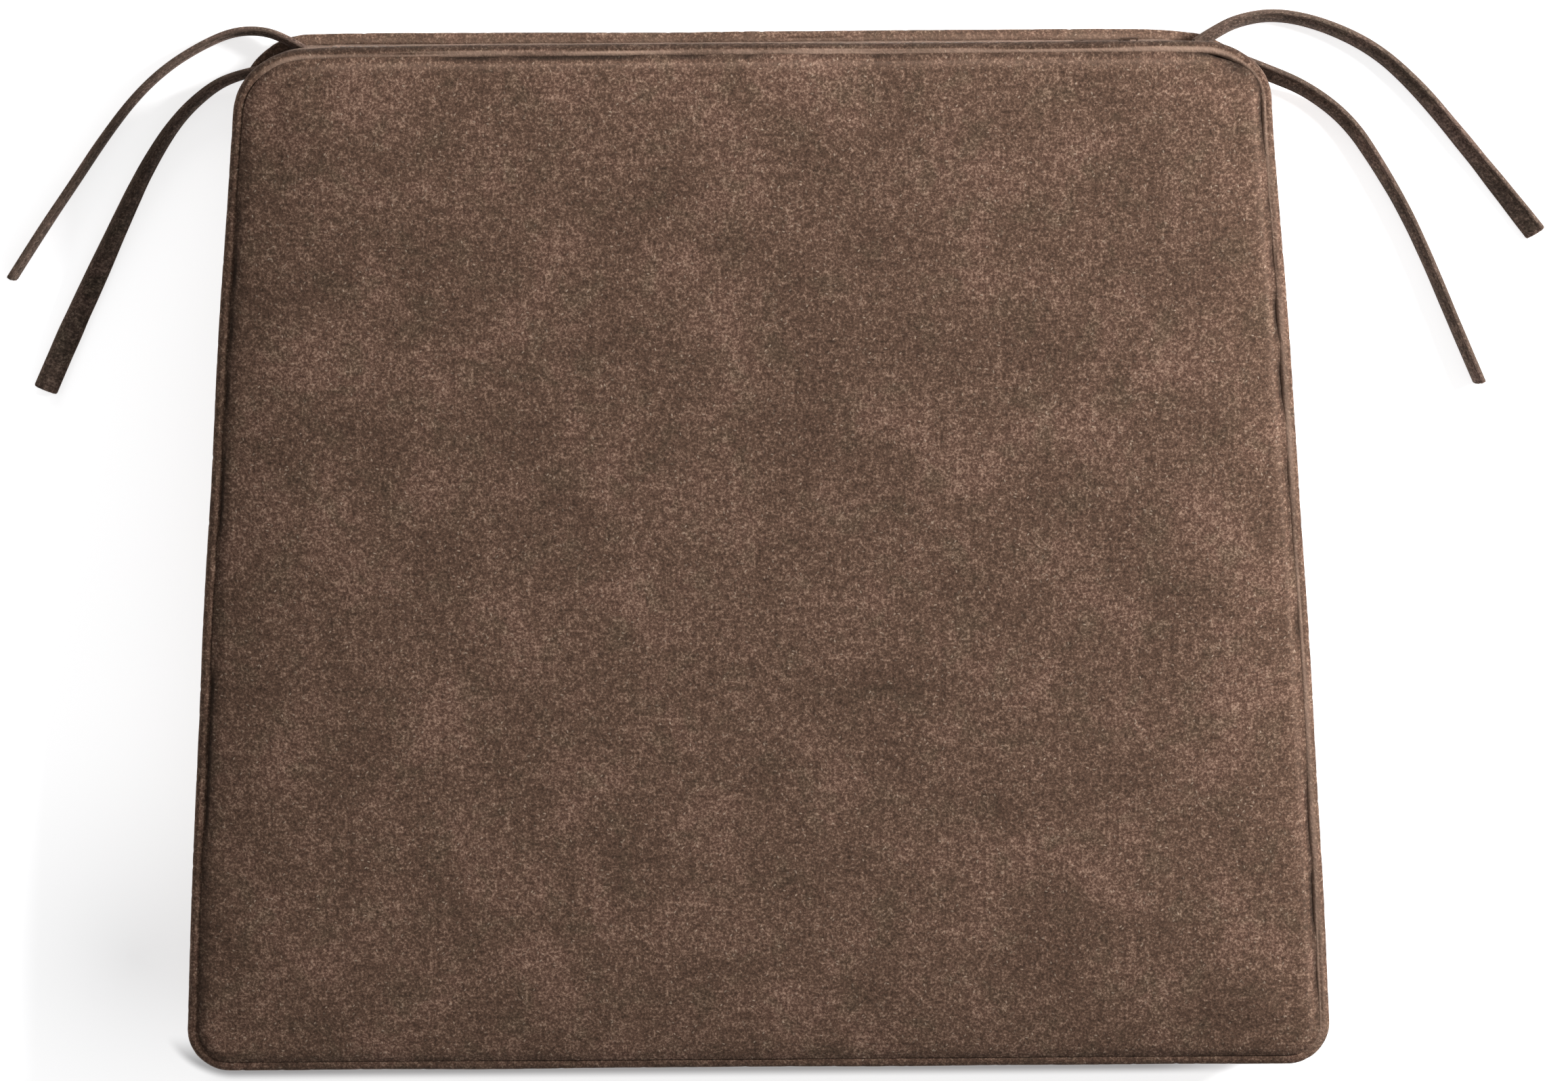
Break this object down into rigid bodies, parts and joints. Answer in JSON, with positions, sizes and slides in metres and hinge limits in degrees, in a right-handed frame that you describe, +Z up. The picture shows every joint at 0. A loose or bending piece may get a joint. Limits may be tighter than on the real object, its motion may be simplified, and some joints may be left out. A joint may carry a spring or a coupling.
{
  "type": "chair seat pad",
  "caption": "Boxed dining chair seat pad in heathered brown brushed fabric, with welted seams, tie tapes at the back corners and a zipped back.",
  "frame": {"origin": "middle of the underside, on the surface that the pad lies on", "axes": "+X to the sitter's right as seen from the front, +Y towards the back edge with the ties, +Z up out of the seat face"},
  "size_m": [0.5892, 0.4069, 0.05],
  "materials": {
    "cover_fabric": "brushed, heathered",
    "tie_fabric": "brushed, heathered",
    "cotton_cord": "twisted cotton",
    "foam": "open-cell foam",
    "polyester_fibre": "lofted fibre",
    "lining_cloth": "spun-bonded",
    "zip_tape": "woven tape",
    "zip_coil": "satin nylon",
    "zip_metal": "antique brass"
  },
  "bodies": {
    "pad": {"top_panel": "cover_fabric", "bottom_panel": "cover_fabric", "boxing_front_sides": "cover_fabric", "boxing_back_upper": "cover_fabric", "boxing_back_lower": "cover_fabric", "top_welt_cover": "cover_fabric", "bottom_welt_cover": "cover_fabric", "tie_left_back": "tie_fabric", "tie_left_side": "tie_fabric", "tie_right_back": "tie_fabric", "tie_right_side": "tie_fabric", "top_welt_cord": "cotton_cord", "bottom_welt_cord": "cotton_cord", "foam_core": "foam", "fibre_wrap_top": "polyester_fibre", "fibre_wrap_bottom": "polyester_fibre", "insert_casing_top": "lining_cloth", "insert_casing_bottom": "lining_cloth", "zip_tape_upper": "zip_tape", "zip_tape_lower": "zip_tape", "zip_coil_upper": "zip_coil", "zip_coil_lower": "zip_coil", "zip_stops": "zip_metal"},
    "slider": {"zip_slider": "zip_metal"},
    "pull": {"zip_pull": "zip_metal"}
  },
  "joints": [
    {"name": "zip_travel", "type": "slide", "parent": "pad", "child": "slider", "axis": [-1, 0, 0], "range_m": [0, 0.286]},
    {"name": "pull_swing", "type": "hinge", "parent": "slider", "child": "pull", "pos_m": [0.143, 0.1969, 0.0214], "axis": [0, 0, -1], "range_deg": [0, 175]}
  ]
}
